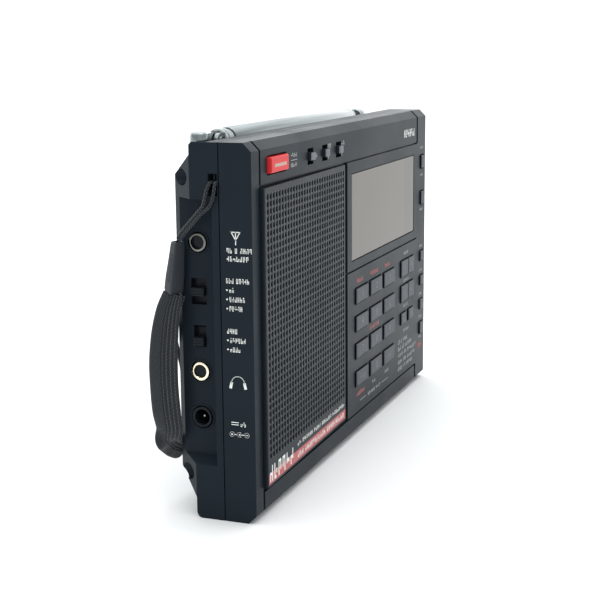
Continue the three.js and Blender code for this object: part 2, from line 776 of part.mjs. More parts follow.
place("front_shell", frontShell(), casePlastic);
place("rear_shell", rearShell(), casePlastic);
place("battery_cover", batteryCover(), casePlastic);
place("kickstand", kickstand(), casePlastic);
place("speaker_grille", speakerGrille(), grillePaint);
place("lcd_window", displayWindow(), displayPane);
place("lcd_module", displayModule(), displayBack);
placeRow("key", mainKeys(), keyRubber);
placeRow("cluster_key", clusterKeys(), keyRubber);
placeRow("edge_key", edgeKeys(), keyRubber);
place("power_button", powerButton(), powerRed);
placeRow("band_switch", BAND_SWITCHES.map(bandSwitch), knobPlastic);
place("gain_switch", sideSwitch(GAIN), knobPlastic);
place("tone_switch", sideSwitch(TONE), knobPlastic);
for (const [name, size] of Object.entries(WHEELS)) {
  place(name, wheel(size), knobPlastic);
}
place("antenna_jack", jack(JACKS.antenna), darkMetal);
place("headphone_jack", jack(JACKS.headphone), goldPlate);
place("dc_jack", jack(JACKS.dc), knobPlastic);
place("antenna_base", antennaBase(), chrome);
placeRow("antenna_section", antennaSections(), chrome);
place("speaker_frame", speakerFrame(), steel);
place("speaker_cone", speakerCone(), paperCone);
place("main_pcb", mainBoard(), boardGreen);
place("keypad_mat", keypadMat(), strapBlack);
place("ferrite_rod", ferriteRod(), ferrite);
place("battery_cells", batteryCells(), cellSleeve);
place("strap_cord", strapCord(), strapBlack);
place("strap_clip", strapClip(), knobPlastic);
place("strap_webbing", strapWebbing(), strapBlack);

export default receiver;
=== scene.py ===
"""The shortwave receiver's looks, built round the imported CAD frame.

Blender's units are metres. Sizes below are written in millimetres in the CAD's frame (+X right seen
from the front, +Y back, +Z up) and turned into metres by the helpers.
"""

import json
import math
import random

import bmesh
import bpy
from mathutils import Matrix, Vector

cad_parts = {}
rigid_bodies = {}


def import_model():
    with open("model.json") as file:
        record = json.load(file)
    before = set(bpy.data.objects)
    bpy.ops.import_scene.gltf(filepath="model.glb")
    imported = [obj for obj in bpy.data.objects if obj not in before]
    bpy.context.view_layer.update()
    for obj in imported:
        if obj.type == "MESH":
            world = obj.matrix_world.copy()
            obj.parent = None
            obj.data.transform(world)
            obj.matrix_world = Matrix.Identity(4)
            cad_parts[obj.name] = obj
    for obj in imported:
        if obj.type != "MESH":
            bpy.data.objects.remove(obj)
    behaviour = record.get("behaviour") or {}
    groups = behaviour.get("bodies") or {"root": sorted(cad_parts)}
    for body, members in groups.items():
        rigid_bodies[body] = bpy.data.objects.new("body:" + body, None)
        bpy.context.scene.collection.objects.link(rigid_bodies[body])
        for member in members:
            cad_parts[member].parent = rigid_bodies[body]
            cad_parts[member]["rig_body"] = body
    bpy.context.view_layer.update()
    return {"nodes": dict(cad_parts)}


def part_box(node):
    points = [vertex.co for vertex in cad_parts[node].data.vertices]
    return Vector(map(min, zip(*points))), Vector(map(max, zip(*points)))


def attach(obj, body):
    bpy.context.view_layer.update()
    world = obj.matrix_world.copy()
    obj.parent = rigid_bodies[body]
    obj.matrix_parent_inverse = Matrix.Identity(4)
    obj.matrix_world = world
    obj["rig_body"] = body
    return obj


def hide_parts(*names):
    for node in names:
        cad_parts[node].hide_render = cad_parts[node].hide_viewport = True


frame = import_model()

MM = 0.001


# ---- camera -------------------------------------------------------------------------------------

CAMERA_AT = (-430.3, -157.5, 141.8)
CAMERA_HEADING = 20.99  # degrees from +X towards +Y
CAMERA_PITCH = -11.14
CAMERA_ROLL = -0.54
CAMERA_LENS = 78.33  # on a 36 mm sensor


def make_camera():
    data = bpy.data.cameras.new("camera")
    data.sensor_width = 36
    data.lens = CAMERA_LENS
    data.clip_start = 0.01
    data.clip_end = 50
    heading = math.radians(CAMERA_HEADING)
    pitch = math.radians(CAMERA_PITCH)
    forward = Vector((
        math.cos(pitch) * math.cos(heading),
        math.cos(pitch) * math.sin(heading),
        math.sin(pitch),
    ))
    right = forward.cross(Vector((0, 0, 1))).normalized()
    up = right.cross(forward)
    level = Matrix((right, up, -forward)).transposed()
    camera = bpy.data.objects.new("camera", data)
    turn = level @ Matrix.Rotation(math.radians(CAMERA_ROLL), 3, "Z")
    camera.matrix_world = Matrix.Translation(Vector(CAMERA_AT) * MM) @ turn.to_4x4()
    bpy.context.scene.collection.objects.link(camera)
    bpy.context.scene.camera = camera


# ---- materials ----------------------------------------------------------------------------------

# Specular of the sides of keys and switches, lowered as part of their painted shade.
PAINTED_SHADE_SPECULAR = 0.03  # of a key's dark walls
DISPLAY_STRIP = 62.4  # where the display's right-hand strip starts, along x


class Shader:
    """A new node material and short ways to add to it."""

    def __init__(self, name):
        self.material = bpy.data.materials.new(name)
        self.material.use_nodes = True
        self.tree = self.material.node_tree
        self.surface = self.tree.nodes["Principled BSDF"]

    def node(self, kind, **settings):
        made = self.tree.nodes.new(kind)
        for key, value in settings.items():
            if hasattr(made, key):
                setattr(made, key, value)
            else:
                made.inputs[key.replace("_", " ").title()].default_value = value
        return made

    def link(self, source, target):
        self.tree.links.new(source, target)

    def axes(self, vector):
        """The X, Y and Z outputs of a vector."""
        split = self.node("ShaderNodeSeparateXYZ")
        self.link(vector, split.inputs["Vector"])
        return split.outputs

    def coordinates(self, kind="Object", scale=(1, 1, 1)):
        mapping = self.node("ShaderNodeMapping")
        mapping.inputs["Scale"].default_value = scale
        self.link(self.node("ShaderNodeTexCoord").outputs[kind], mapping.inputs["Vector"])
        return mapping.outputs["Vector"]

    def noise(self, vector, scale, detail):
        made = self.node("ShaderNodeTexNoise", scale=scale, detail=detail)
        self.link(vector, made.inputs["Vector"])
        return made.outputs["Fac"]

    def spread(self, value, low, high):
        """A noise's usual reach, 0.3 to 0.7, as low to high; 0 gives low too, and 1 high."""
        made = self.node("ShaderNodeMapRange", from_min=0.3, from_max=0.7, to_min=low, to_max=high)
        self.link(value, made.inputs["Value"])
        return made.outputs["Result"]

    def mix(self, value, first, second):
        """A colour from first to second as the value goes from 0 to 1; each is a tuple or an output."""
        made = self.node("ShaderNodeMix", data_type="RGBA")
        self.link(value, made.inputs["Factor"])
        colours = [s for s in made.inputs if s.type == "RGBA"]
        for socket, colour in zip(colours, (first, second)):
            if isinstance(colour, tuple):
                socket.default_value = (*colour, 1)
            else:
                self.link(colour, socket)
        return next(s for s in made.outputs if s.type == "RGBA")

    def math(self, operation, *values):
        made = self.node("ShaderNodeMath", operation=operation)
        for socket, value in zip(made.inputs, values):
            if isinstance(value, (int, float)):
                socket.default_value = value
            else:
                self.link(value, socket)
        return made.outputs["Value"]

    def bump(self, height, distance):
        """A relief; the distance is in millimetres."""
        made = self.node("ShaderNodeBump", strength=1.0, distance=distance * MM)
        self.link(height, made.inputs["Height"])
        self.link(made.outputs["Normal"], self.surface.inputs["Normal"])

    def set(self, **inputs):
        """Surface settings, each a number or an output."""
        names = {"colour": "Base Color", "metal": "Metallic", "specular": "Specular IOR Level",
                 "coat": "Coat Weight", "coat_roughness": "Coat Roughness", "sheen": "Sheen Weight"}
        for key, value in inputs.items():
            socket = self.surface.inputs[names.get(key, key.title())]
            if hasattr(value, "is_output"):
                self.link(value, socket)
            else:
                socket.default_value = value


def shade(colour, factor):
    return tuple(min(1.0, c * factor) for c in colour)


def moulded(name, colour, roughness, specular=0.3, grain=0.02, grain_scale=2600, painted_wall_shade=None):
    """Injection-moulded plastic: a spark-eroded grain, a slow drift in tone and rubbed patches.

    With a dark colour for the sides, they are painted dark and less glossy as painted shade in the gaps
    round a key or switch; only the face turned to the front keeps the colour.
    """
    shader = Shader(name)
    place = shader.coordinates()
    slow = shader.noise(place, 45, 2)
    tone = shader.mix(slow, shade(colour, 0.88), shade(colour, 1.12))
    # Painted shade: sides not turned to the front, in the gaps round a key or switch, get the dark
    # colour and less specular.
    if painted_wall_shade:
        normal = shader.node("ShaderNodeNewGeometry").outputs["Normal"]
        on_face = shader.math("LESS_THAN", shader.axes(normal)["Y"], -0.6)
        tone = shader.mix(on_face, painted_wall_shade, tone)
        specular = shader.spread(on_face, PAINTED_SHADE_SPECULAR, specular)
    rough = shader.spread(slow, roughness - 0.04, roughness + 0.05)
    shader.set(colour=tone, specular=specular, roughness=rough)
    shader.bump(shader.noise(place, grain_scale, 2), grain)
    return shader.material


def plated(name, colour, roughness, along=(1, 1, 1), streak=0.08):
    """Polished or brushed metal; along stretches the fine scratches and streak darkens them."""
    shader = Shader(name)
    lines = shader.noise(shader.coordinates(scale=along), 900, 4)
    slow = shader.noise(shader.coordinates(), 60, 2)
    cloudy = shader.mix(slow, shade(colour, 0.9), shade(colour, 1.05))
    tone = shader.mix(shader.spread(lines, 1 - streak, 1), (0, 0, 0), cloudy)
    shader.set(colour=tone, metal=1.0, roughness=shader.spread(lines, roughness * 0.7, roughness * 1.4))
    shader.bump(lines, 0.004)
    return shader.material


def ink(name, colour):
    """Screen-printed ink, slightly uneven."""
    shader = Shader(name)
    cover = shader.noise(shader.coordinates(), 3500, 3)
    tone = shader.mix(cover, shade(colour, 0.82), shade(colour, 1.1))
    shader.set(colour=tone, roughness=0.6, specular=0.2)
    shader.bump(cover, 0.01)
    return shader.material


def display_material():
    """The blank display behind its window: a wide field and a narrower strip at its right."""
    shader = Shader("display_pane")
    place = shader.coordinates()
    strip = shader.math("GREATER_THAN", shader.axes(place)["X"], DISPLAY_STRIP * MM)
    cloud = shader.noise(place, 55, 2)
    field = shader.mix(cloud, (0.087, 0.073, 0.056), (0.106, 0.09, 0.071))
    side = shader.mix(cloud, (0.07, 0.062, 0.049), (0.083, 0.075, 0.06))
    shader.set(colour=shader.mix(strip, field, side), roughness=0.32, specular=0.32, coat=0.15,
               coat_roughness=0.06)
    shader.bump(shader.noise(place, 5000, 1), 0.004)
    return shader.material


def woven(name, colour, across, along, depth):
    """Nylon weave laid out on UV: u across and v along, both in millimetres; its relief is also painted
    into the colour as shade and highlight.
    """
    shader = Shader(name)
    uv = shader.coordinates("UV")
    u, v, _ = shader.axes(uv)
    weft = shader.math("SINE", shader.math("MULTIPLY", v, math.tau / along))
    warp = shader.math("SINE", shader.math("MULTIPLY", u, math.tau / across))
    weave = shader.math("MULTIPLY", weft, warp)
    fuzz = shader.noise(uv, 14, 4)
    # Painted shade and highlight: the weave's raised threads are painted lighter and its hollows
    # darker, by the same pattern as its bump.
    lift = shader.math("MULTIPLY_ADD", weave, 0.5, 0.5)
    tone = shader.mix(lift, shade(colour, 0.45), shade(colour, 1.7))
    shader.set(colour=tone, roughness=0.85, specular=0.25, sheen=0.25)
    shader.bump(shader.math("ADD", weave, shader.math("MULTIPLY", fuzz, 0.8)), depth)
    return shader.material


def floor_material():
    shader = Shader("studio_floor")
    cloud = shader.noise(shader.coordinates(), 3, 2)
    tone = shader.mix(cloud, (0.86, 0.87, 0.87), (0.9, 0.905, 0.905))
    shader.set(colour=tone, roughness=0.7, specular=0.15)
    return shader.material


MATERIALS = {
    "case": moulded("case_plastic", (0.0115, 0.0172, 0.0235), 0.34, 0.062),
    "grille": moulded("grille_plastic", (0.016, 0.021, 0.027), 0.36, 0.09),
    "display_pane": display_material(),
    "display_back": moulded("display_frame", (0.2, 0.2, 0.18), 0.5),
    # Keys and switches: their sides are painted dark as painted shade in the gaps round them.
    "key": moulded("key_plastic", (0.066, 0.074, 0.086), 0.42, 0.1, 0.012,
                   painted_wall_shade=(0.004, 0.005, 0.007)),
    "switch": moulded("switch_plastic", (0.16, 0.17, 0.19), 0.42, 0.15, 0.012,
                      painted_wall_shade=(0.02, 0.022, 0.026)),
    "power": moulded("power_plastic", (0.64, 0.032, 0.036), 0.35, 0.12, 0.01),
    "knob": moulded("knob_plastic", (0.009, 0.012, 0.016), 0.32, 0.14, 0.01),
    "knob_face": moulded("knob_face", (0.2, 0.21, 0.235), 0.4, 0.2, 0.01),
    "clip": moulded("clip_plastic", (0.026, 0.031, 0.037), 0.42, 0.3, 0.015),
    "chrome": plated("chrome_plate", (0.315, 0.347, 0.353), 0.1, along=(0.03, 1, 1), streak=0.35),
    "dark_metal": plated("dark_nickel", (0.2, 0.195, 0.18), 0.14, streak=0.4),
    "gold": plated("gold_plate", (0.95, 0.86, 0.66), 0.14),
    "steel": plated("pressed_steel", (0.45, 0.46, 0.48), 0.35),
    "cone": moulded("cone_paper", (0.006, 0.006, 0.006), 0.9, 0.1, 0.06, 900),
    "board": moulded("board_green", (0.02, 0.09, 0.04), 0.5),
    "mat": moulded("mat_rubber", (0.02, 0.02, 0.022), 0.8, 0.2),
    "ferrite": moulded("ferrite_body", (0.035, 0.035, 0.037), 0.7, 0.2, 0.05, 700),
    "cells": moulded("cell_sleeve", (0.16, 0.17, 0.19), 0.35, 0.5),
    "strap": woven("strap_weave", (0.012, 0.0155, 0.0195), 0.9, 1.1, 0.08),
    "ink_white": ink("ink_white", (0.8, 0.82, 0.79)),
    "ink_grey": ink("ink_grey", (0.36, 0.38, 0.36)),
    "ink_red": ink("ink_red", (0.5, 0.15, 0.15)),
    "ink_cream": ink("ink_cream", (0.5, 0.36, 0.31)),
    "ink_key": ink("ink_key", (0.2, 0.205, 0.22)),
}


# ---- mesh helpers -------------------------------------------------------------------------------

CREASE = 32  # degrees above which an edge of a turned shape looks sharp
AXIS = 0.0001  # radius of a turned profile's end on its axis


def piece(name, mesh, body, look, replaces=()):
    """A mesh in metres as an object that rides on a body and stands for CAD nodes.

    look names the material.
    """
    made = bpy.data.objects.new(name, mesh)
    bpy.context.scene.collection.objects.link(made)
    mesh.materials.clear()
    mesh.materials.append(MATERIALS[look])
    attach(made, body)
    if replaces:
        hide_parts(*replaces)
    return made


def mesh_of(bm, name, crease=0):
    """Closes a bmesh drawn in millimetres into a mesh in metres.

    With a crease it is shaded round, apart from edges sharper than that many degrees.
    """
    bmesh.ops.recalc_face_normals(bm, faces=bm.faces)
    bmesh.ops.scale(bm, vec=(MM, MM, MM), verts=bm.verts)
    mesh = bpy.data.meshes.new(name)
    bm.to_mesh(mesh)
    bm.free()
    if crease:
        mesh.shade_smooth()
        mesh.set_sharp_from_angle(angle=math.radians(crease))
    return mesh


def built(bm, name, body, look, replaces=(), crease=0):
    """A bmesh drawn in millimetres as a piece."""
    return piece(name, mesh_of(bm, name, crease), body, look, replaces)


def soften(made, width, segments=2, by_weight=False):
    """Rounds the sharp edges of a piece, or only the weighted ones, and keeps its faces flat."""
    bevel = made.modifiers.new("edges", "BEVEL")
    bevel.width = width * MM
    bevel.segments = segments
    bevel.limit_method = "WEIGHT" if by_weight else "ANGLE"
    bevel.angle_limit = math.radians(28)
    bevel.use_clamp_overlap = True
    made.data.shade_smooth()
    normals = made.modifiers.new("flat faces", "WEIGHTED_NORMAL")
    normals.mode = "FACE_AREA"
    normals.weight = 100
    normals.keep_sharp = True


def finished(node, look, width=0.0, segments=2):
    """The CAD node's own shape with its coplanar faces joined and its edges rounded."""
    cad = frame["nodes"][node]
    bm = bmesh.new()
    bm.from_mesh(cad.data)
    bmesh.ops.remove_doubles(bm, verts=bm.verts, dist=2e-6)
    bmesh.ops.dissolve_limit(bm, angle_limit=math.radians(1), verts=bm.verts, edges=bm.edges)
    mesh = bpy.data.meshes.new(node + "_finish")
    bm.to_mesh(mesh)
    bm.free()
    made = piece(node + "_finish", mesh, cad["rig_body"], look, [node])
    if width:
        soften(made, width, segments)


def add_box(bm, x, y, z):
    corners = [bm.verts.new((a, b, c)) for a in x for b in y for c in z]
    for face in ((0, 1, 3, 2), (4, 6, 7, 5), (0, 4, 5, 1), (2, 3, 7, 6), (0, 2, 6, 4), (1, 5, 7, 3)):
        bm.faces.new([corners[i] for i in face])


def rectangle(u, v):
    return [(u[0], v[0]), (u[1], v[0]), (u[1], v[1]), (u[0], v[1])]


def add_loft(bm, rings, closed=False):
    """Joins rings of equally many points, and the last to the first if closed, else caps the ends."""
    made = [[bm.verts.new(point) for point in ring] for ring in rings]
    count = len(rings[0])
    for first, second in zip(made, made[1:] + (made[:1] if closed else [])):
        for i in range(count):
            j = (i + 1) % count
            bm.faces.new((first[i], first[j], second[j], second[i]))
    if not closed:
        bm.faces.new(made[0][::-1])
        bm.faces.new(made[-1])


def add_prism(bm, outline, to_place, depth):
    """A prism: outline points (u, v), and to_place(u, v, height) that puts them in space."""
    add_loft(bm, [[to_place(u, v, height) for u, v in outline] for height in (0, depth)])


def turned_rings(axis, profile, at, sides):
    """Rings of a turned shape: profile points (radius, place along the axis) round axis x, y or z."""
    rings = []
    for radius, along in profile:
        ring = []
        for i in range(sides):
            angle = math.tau * i / sides
            u, v = radius * math.cos(angle), radius * math.sin(angle)
            point = {"x": (along, u, v), "y": (v, along, u), "z": (u, v, along)}[axis]
            ring.append(Vector(point) + Vector(at))
        rings.append(ring)
    return rings


def add_turned(bm, axis, profile, at, sides=64):
    """A turned solid."""
    add_loft(bm, turned_rings(axis, profile, at, sides))


def turned_piece(name, axis, profile, at, body, look, replaces=(), sides=64, closed=False):
    """One turned shape; with closed its profile closes on itself, which makes a ring."""
    bm = bmesh.new()
    add_loft(bm, turned_rings(axis, profile, at, sides), closed)
    return built(bm, name, body, look, replaces=replaces, crease=CREASE)


def smooth_curve(points, steps):
    """Points along the centripetal Catmull-Rom curve through the given ones, as in the CAD."""
    places = [Vector(p) for p in points]
    count = len(places)
    result = []
    for step in range(steps + 1):
        t = step / steps * (count - 1)
        i = min(int(t), count - 2)
        p1, p2 = places[i], places[i + 1]
        p0 = places[i - 1] if i > 0 else p1 * 2 - p2
        p3 = places[i + 2] if i + 2 < count else p2 * 2 - p1
        d1 = (p1 - p2).length_squared ** 0.25 or 1.0
        d0 = (p0 - p1).length_squared ** 0.25 or d1
        d2 = (p2 - p3).length_squared ** 0.25 or d1
        leave = ((p1 - p0) / d0 - (p2 - p0) / (d0 + d1) + (p2 - p1) / d1) * d1
        arrive = ((p2 - p1) / d1 - (p3 - p1) / (d1 + d2) + (p3 - p2) / d2) * d1
        w = t - i
        result.append(
            p1 * (2 * w ** 3 - 3 * w ** 2 + 1) + leave * (w ** 3 - 2 * w ** 2 + w)
            + p2 * (3 * w ** 2 - 2 * w ** 3) + arrive * (w ** 3 - w ** 2)
        )
    return result


# ---- strap --------------------------------------------------------------------------------------

# From the clip up one strand, round the post in the case and down the other strand.
CORD_ROUTE = [
    (-91.8, 8.9, 84.9), (-92.6, 6.8, 87.2), (-93.5, 4.1, 89.8), (-94.3, 0.7, 93.2), (-94.5, -1.9, 95.3),
    (-94.6, -3.2, 97.7), (-94.6, -3.8, 100.6), (-93.6, -3.75, 102.2), (-92.2, -3.78, 102.4),
    (-90.75, -2.8, 102.4), (-92.2, -1.8, 102.4), (-93.6, -1.85, 102), (-94.6, -1.4, 100.3),
    (-94.6, -0.7, 97.7), (-94.5, 0, 95.6), (-94.2, 1.6, 93.9), (-93.4, 4.9, 90.6), (-92.5, 7.6, 88),
    (-91.6, 9.7, 85.4),
]
CORD_RADIUS = 0.45
PLAIT = 2.4  # length of one turn of the braid

# Stations of the webbing loop: centre, width, and the direction of its outer edge.
WEBBING_ROUTE = [
    ((-93.1, 11, 68.9), 6.4, (0, 1, 0)),
    ((-93.7, 12.4, 64), 7.8, (0, 1, 0)),
    ((-94.1, 13.5, 57), 9, (0, 1, 0)),
    ((-94.1, 14.3, 48), 9.6, (0, 1, 0)),
    ((-94, 14.3, 40), 9.6, (0, 1, 0)),
    ((-93.3, 14.1, 32), 9.6, (0, 1, -0.1)),
    ((-92.1, 14, 26.6), 9.2, (0.1, 0.97, -0.2)),
    ((-90.4, 15.3, 23), 8.4, (0.3, 0.75, -0.45)),
    ((-87.2, 16.4, 20.6), 7.8, (0.3, 0.5, -0.75)),
    ((-83.2, 16.4, 17.9), 7.6, (0.4, 0.4, -0.8)),
    ((-79, 16.3, 16.6), 7.6, (0.5, 0.35, -0.8)),
    ((-77, 16.1, 20.5), 7.8, (0.8, 0.4, -0.45)),
    ((-78, 15.7, 27), 8.4, (0.9, 0.4, -0.15)),
    ((-78.8, 15.4, 33), 8.8, (0.92, 0.38, 0)),
    ((-79, 15.4, 42), 8.8, (0.92, 0.38, 0)),
    ((-81.6, 16.1, 50), 8.6, (0.85, 0.5, 0)),
    ((-86.8, 16.1, 57.5), 8.2, (0.6, 0.8, 0)),
    ((-90.1, 13.7, 63.5), 7.4, (0.2, 0.98, 0)),
    ((-91.2, 11, 68.9), 6.4, (0, 1, 0)),
]
WEBBING_THICKNESS = 1.2

CLIP_X = -91.9
CLIP_TURN = 29  # degrees the clip is turned about its length

# Sections of the clip: height, middle y, half size along wide and along deep, fall towards the front.
CLIP_SECTIONS = [
    (84.2, 9.45, 0.9, 0.6, 0.1),
    (84.6, 9.45, 1.35, 0.9, 0.1),
    (84.5, 9.5, 1.6, 1.1, 0.1),
    (83.6, 9.6, 1.8, 1.25, 0.1),
    (82.4, 9.75, 1.86, 1.28, 0.1),
    (78, 10.25, 2.15, 1.45, 0.1),
    (74, 10.75, 2.42, 1.62, 0.15),
    (70.6, 11.15, 2.48, 1.66, 0.25),
    (69.8, 11.25, 2.42, 1.62, 0.3),
    (69.3, 11.3, 2.2, 1.45, 0.3),
]


def frames_along(points):
    """(point, side, up, distance so far) at each point, turned as little as possible."""
    side = Vector((0, 1, 0))
    travelled = 0.0
    result = []
    for i, point in enumerate(points):
        along = (points[min(i + 1, len(points) - 1)] - points[max(i - 1, 0)]).normalized()
        side = (side - along * side.dot(along)).normalized()
        if i:
            travelled += (point - points[i - 1]).length
        result.append((point, side.copy(), along.cross(side), travelled))
    return result


def swept_piece(name, rings, lengths, arounds, replaces):
    """A strap's swept skin with UV in millimetres: u round the section and v along the sweep."""
    bm = bmesh.new()
    layer = bm.loops.layers.uv.new("UVMap")
    made = [[bm.verts.new(point) for point in ring] for ring in rings]
    count = len(rings[0])
    for k in range(len(made) - 1):
        for i in range(count):
            j = (i + 1) % count
            face = bm.faces.new((made[k][i], made[k][j], made[k + 1][j], made[k + 1][i]))
            rows = (lengths[k], lengths[k + 1])
            for loop, uv in zip(face.loops, rectangle(arounds[i:i + 2], rows)):
                loop[layer].uv = uv
    bm.faces.new(made[0][::-1])
    bm.faces.new(made[-1])
    return built(bm, name, "case", "strap", replaces=replaces, crease=180)


def strap_cord():
    """Braided cord: the plaits stand out as a crossing ripple in its radius."""
    path = smooth_curve(CORD_ROUTE, 150)
    sides = 16
    rings = []
    stations = frames_along(path)
    for point, side, up, travelled in stations:
        ring = []
        for i in range(sides):
            angle = math.tau * i / sides
            twist = travelled * math.tau / PLAIT
            plait = math.sin(2 * angle + twist) * math.sin(2 * angle - twist)
            radius = CORD_RADIUS * (1 + 0.1 * plait)
            ring.append(point + side * radius * math.cos(angle) + up * radius * math.sin(angle))
        rings.append(ring)
    lengths = [station[3] for station in stations]
    arounds = [CORD_RADIUS * math.tau * i / sides for i in range(sides + 1)]
    made = swept_piece("strap_cord_finish", rings, lengths, arounds, ["strap_cord"])
    return made, [p * MM for p in path], lengths[-1] * MM


def strap_clip():
    """Tapered moulded clip with a lipped mouth at the top, and ribs on its narrow face."""
    turn = math.radians(CLIP_TURN)
    wide = Vector((-math.cos(turn), math.sin(turn), 0))
    deep = Vector((-math.sin(turn), -math.cos(turn), 0))
    rings = []
    for z, y, half_wide, half_deep, fall in CLIP_SECTIONS:
        ring = []
        for i in range(36):
            angle = math.tau * (i + 0.5) / 36
            c, s = math.cos(angle), math.sin(angle)
            u = math.copysign(abs(c) ** 0.17, c) * half_wide
            v = math.copysign(abs(s) ** 0.17, s) * half_deep
            ring.append(Vector((CLIP_X, y, z - v * fall)) + wide * u + deep * v)
        rings.append(ring)
    bm = bmesh.new()
    add_loft(bm, rings)
    for i in range(9):
        z = 80.6 - i * 0.95
        blend = (81.2 - z) / 9.6  # how far down the clip's taper
        centre = Vector((CLIP_X, 9.85 + 1.25 * blend, z)) + wide * (1.95 + 0.5 * blend)
        half = 0.5 + 0.25 * blend

        def rib(u, v, height, centre=centre):
            return centre + deep * u + Vector((0, 0, v)) + wide * (height - 0.3)

        add_prism(bm, rectangle((-half, half), (-0.2, 0.2)), rib, 0.5)
    return built(bm, "strap_clip_finish", "case", "clip", ["strap_clip"], crease=40)


def webbing_section(u):
    """Half thickness of the webbing at u, from -1 to 1 across it, as a share of its thickness."""
    edge = math.sqrt(max(0.0, 1 - abs(u) ** 8))
    rib = 0.3 * (math.cos(u * math.pi * 7) - 1) if -0.88 < u < 0.15 else 0.0
    return edge * (0.98 + rib) / 2


def strap_webbing():
    """Flat nylon webbing: two woven selvedge bands and raised ribs along its middle."""
    steps, across = 180, 56
    centres = smooth_curve([at for at, _, _ in WEBBING_ROUTE], steps)
    sides = smooth_curve([side for _, _, side in WEBBING_ROUTE], steps)
    widths = smooth_curve([(width, 0, 0) for _, width, _ in WEBBING_ROUTE], steps)
    rings, lengths, travelled = [], [], 0.0
    for i, centre in enumerate(centres):
        along = (centres[min(i + 1, steps)] - centres[max(i - 1, 0)]).normalized()
        side = (sides[i] - along * sides[i].dot(along)).normalized()
        face = along.cross(side)
        if i:
            travelled += (centre - centres[i - 1]).length
        lengths.append(travelled)
        ring = []
        for direction in (1, -1):
            for k in range(across):
                u = direction * (-1 + 2 * (k + 0.5) / across)
                lift = direction * WEBBING_THICKNESS * webbing_section(u)
                ring.append(centre + side * (u * widths[i].x / 2) + face * lift)
        rings.append(ring)
    arounds = [10 * i / across for i in range(2 * across + 1)]
    swept_piece("strap_webbing_finish", rings, lengths, arounds, ["strap_webbing"])


def make_strap():
    cord, path, length = strap_cord()
    clip = strap_clip()
    strap_webbing()


# ---- case ---------------------------------------------------------------------------------------

SCREWS = ((-89.9, 103.4), (-89.9, 13.3), (89.9, 103.4), (89.9, 13.3))
SCREW_TOP = 5.8
SCREW_HEAD = [(1.9, 4.7), (1.9, 5.2), (1.75, 5.55), (1.1, SCREW_TOP), (0.75, 5.85)]
BACK = 16.35  # just under the back face of the battery cover and the stand


def make_case():
    for node, edge in (("front_shell", 0.45), ("rear_shell", 0.45), ("battery_cover", 0.4),
                       ("kickstand", 0.35)):
        finished(node, "case", edge)


def make_screws():
    """Cross-head case screws at the bottom of their recesses."""
    for index, (x, z) in enumerate(SCREWS, 1):
        bm = bmesh.new()
        add_turned(bm, "y", SCREW_HEAD, (x, 0, z), 40)
        for turn in (0, math.pi / 2):
            def arm(u, v, height):
                across = u * math.cos(turn) - v * math.sin(turn)
                up = u * math.sin(turn) + v * math.cos(turn)
                return Vector((x + across, SCREW_TOP + height, z + up))
            add_prism(bm, rectangle((-1, 1), (-0.16, 0.16)), arm, 0.12)
        built(bm, f"case_screw_{index}", "case", "dark_metal", crease=CREASE)


def cover_details():
    """Grip ridges and an arrow on the battery cover, and grip ribs on the stand."""
    bm = bmesh.new()
    for i in range(7):
        add_box(bm, (8 + i * 1.6, 8.8 + i * 1.6), (BACK, BACK + 0.15), (46, 68))
    arrow = [(24, 55), (30, 55), (30, 53), (34, 57), (30, 61), (30, 59), (24, 59)]
    add_prism(bm, arrow, lambda u, v, height: Vector((u, BACK + height, v)), 0.15)
    built(bm, "cover_grip", "battery_cover", "case")
    bm = bmesh.new()
    for i in range(4):
        add_box(bm, (-38, -18), (BACK - 0.2, BACK + 0.1), (25 + i * 1.8, 25.8 + i * 1.8))
    built(bm, "stand_grip", "kickstand", "case")


# ---- speaker grille -----------------------------------------------------------------------------

GRILLE = {"x": (-87.3, -10.7), "z": (9.4, 100.4), "left": -16.4, "right": -15.1, "back": -14.2}
GRILLE_RIM = 14.9  # the plate's front edges lie further forward than this
SLOT = {"columns": 30, "rows": 37, "x": (-84.9, -13.2), "z": (19.1, 97.7), "width": 1.28,
        "height": 1.52, "corner": 0.3}


def grille_front(x):
    (x0, x1), left, right = GRILLE["x"], GRILLE["left"], GRILLE["right"]
    return left + (right - left) * (x - x0) / (x1 - x0)


def slot_outline(x, z):
    """Slot with cut corners, eight points."""
    w, h, c = SLOT["width"] / 2, SLOT["height"] / 2, SLOT["corner"]
    return [(x + w, z + h - c), (x + w - c, z + h), (x - w + c, z + h), (x - w, z + h - c),
            (x - w, z - h + c), (x - w + c, z - h), (x + w - c, z - h), (x + w, z - h + c)]


def cell_outline(x, z, w, h):
    """The cell's edge, as eight points that face the slot's."""
    return [(x + w, z), (x + w, z + h), (x, z + h), (x - w, z + h),
            (x - w, z), (x - w, z - h), (x, z - h), (x + w, z - h)]


def grille_lines(low, high, first, last, count):
    """Grid lines along one direction: the plate's edges, each cell's edges and its middle."""
    half = (last - first) / (count - 1) / 2
    inner = [first - half + i * half for i in range(2 * count + 1)]
    return [low, *inner, high]


def grille_skin(bm, xs, zs, depth_of):
    """One face of the plate with its slots; returns its vertices by their rounded place."""
    known = {}

    def vertex(x, z):
        key = (round(x, 4), round(z, 4))
        if key not in known:
            known[key] = bm.verts.new((x, depth_of(x), z))
        return known[key]

    half_x, half_z = (xs[3] - xs[1]) / 2, (zs[3] - zs[1]) / 2
    for x in xs[2:-2:2]:
        for z in zs[2:-2:2]:
            slot = [vertex(*p) for p in slot_outline(x, z)]
            cell = [vertex(*p) for p in cell_outline(x, z, half_x, half_z)]
            for i in range(8):
                j = (i + 1) % 8
                bm.faces.new((slot[i], cell[i], cell[j], slot[j]))
    for i in range(len(xs) - 1):
        for k in range(len(zs) - 1):
            if i in (0, len(xs) - 2) or k in (0, len(zs) - 2):
                bm.faces.new([vertex(*p) for p in rectangle(xs[i:i + 2], zs[k:k + 2])])
    return known


